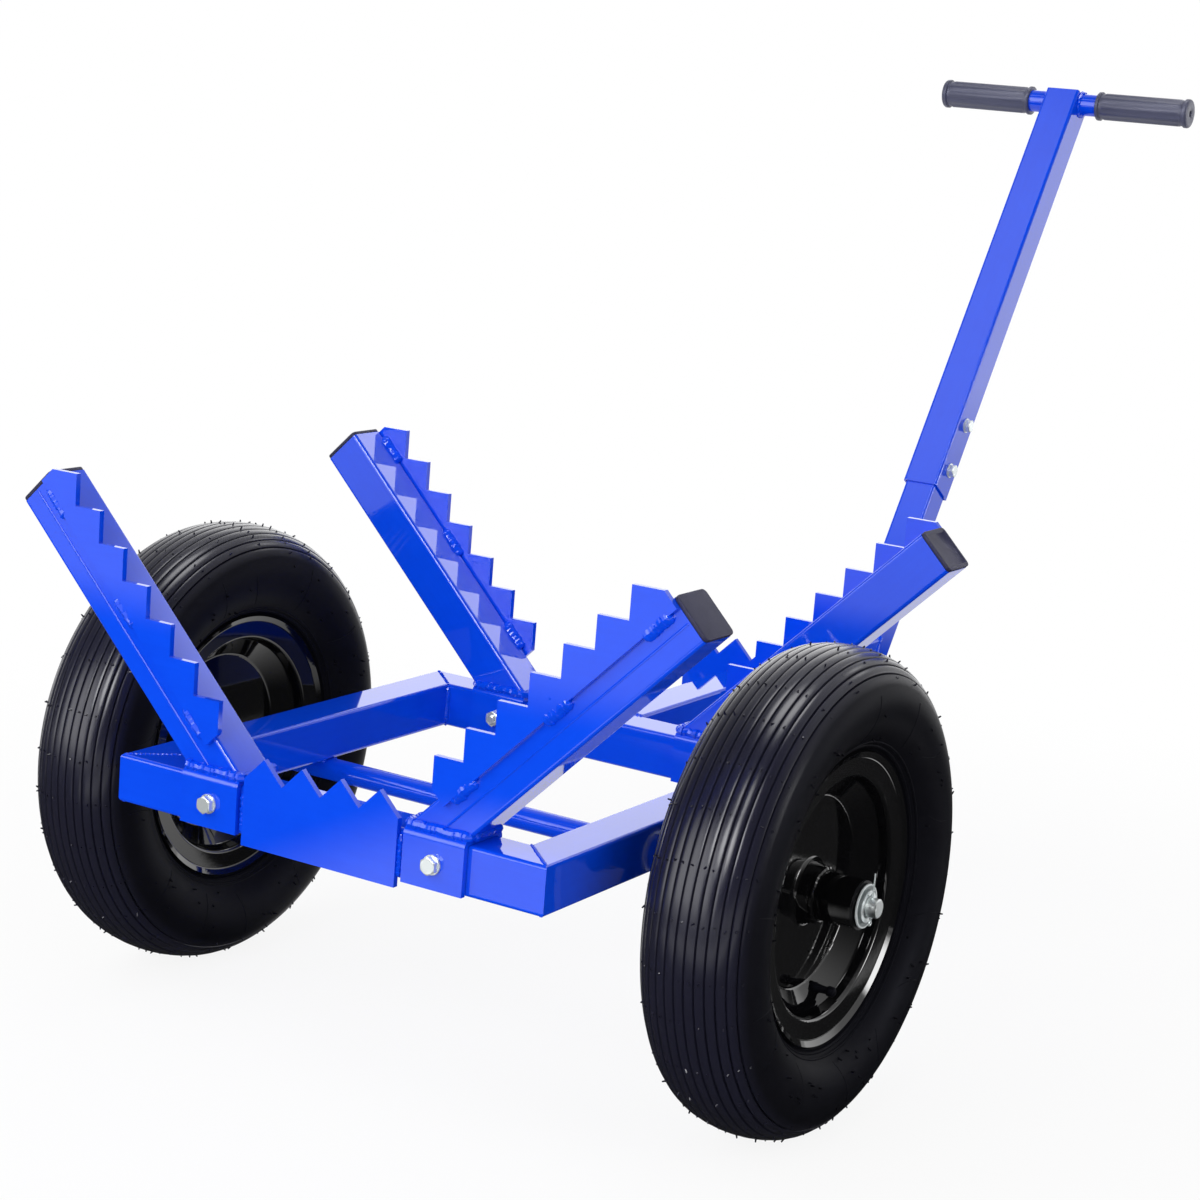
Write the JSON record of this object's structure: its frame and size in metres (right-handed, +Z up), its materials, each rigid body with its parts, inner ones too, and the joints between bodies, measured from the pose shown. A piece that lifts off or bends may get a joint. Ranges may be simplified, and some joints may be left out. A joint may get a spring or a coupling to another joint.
{
  "type": "log dolly",
  "caption": "Two-wheeled timber hauling dolly: welded frame, leaning sawtooth arms that cradle a log, and a tow bar with a cross handle.",
  "frame": {"origin": "on the floor, below the middle of the dolly's overall length and width", "axes": "+X along the axle to the right as seen from the open end, +Y towards the pull handle, +Z up"},
  "size_m": [0.742, 1.385, 0.8424],
  "materials": {
    "blue_paint": "glossy powder coat",
    "black_paint": "glossy black enamel",
    "zinc": "bright zinc plate",
    "tyre_rubber": "moulded, slight sheen",
    "tube_rubber": "smooth",
    "valve_rubber": "smooth",
    "cap_plastic": "moulded, fine grain",
    "grip_rubber": "soft moulded, ribbed"
  },
  "bodies": {
    "frame": {"axle": "blue_paint", "axle_collars": "blue_paint", "cotter_pins": "zinc", "drawbar": "blue_paint", "drawbar_cradle_plate": "blue_paint", "far_crossmember": "blue_paint", "far_left_arm": "blue_paint", "far_left_arm_cap": "cap_plastic", "far_left_saddle": "blue_paint", "far_left_tooth_plate": "blue_paint", "far_right_arm": "blue_paint", "far_right_arm_cap": "cap_plastic", "far_right_saddle": "blue_paint", "far_right_tooth_plate": "blue_paint", "foot_cap": "cap_plastic", "handle_bar": "blue_paint", "inner_washers": "zinc", "left_grip": "grip_rubber", "left_rail": "blue_paint", "lower_tow_tube": "blue_paint", "near_cradle_plate": "blue_paint", "near_crossmember": "blue_paint", "near_left_arm": "blue_paint", "near_left_arm_cap": "cap_plastic", "near_left_saddle": "blue_paint", "near_left_tooth_plate": "blue_paint", "near_right_arm": "blue_paint", "near_right_arm_cap": "cap_plastic", "near_right_saddle": "blue_paint", "near_right_tooth_plate": "blue_paint", "outer_washers": "zinc", "right_grip": "grip_rubber", "right_rail": "blue_paint", "saddle_bolts": "zinc", "saddle_nuts": "zinc", "saddle_washers": "zinc", "tow_bolts": "zinc", "tow_nuts": "zinc", "tow_washers": "zinc", "upper_tow_tube": "blue_paint"},
    "left_wheel": {"left_bearings": "zinc", "left_hub": "black_paint", "left_inner_rim": "black_paint", "left_inner_tube": "tube_rubber", "left_outer_rim": "black_paint", "left_tyre": "tyre_rubber", "left_valve": "valve_rubber"},
    "right_wheel": {"right_bearings": "zinc", "right_hub": "black_paint", "right_inner_rim": "black_paint", "right_inner_tube": "tube_rubber", "right_outer_rim": "black_paint", "right_tyre": "tyre_rubber", "right_valve": "valve_rubber"}
  },
  "joints": [
    {"name": "left_wheel_spin", "type": "hinge", "parent": "frame", "child": "left_wheel", "pos_m": [-0.305, -0.44162, 0.2], "axis": [1, 0, 0], "continuous": true},
    {"name": "right_wheel_spin", "type": "hinge", "parent": "frame", "child": "right_wheel", "pos_m": [0.305, -0.44162, 0.2], "axis": [1, 0, 0], "continuous": true}
  ]
}
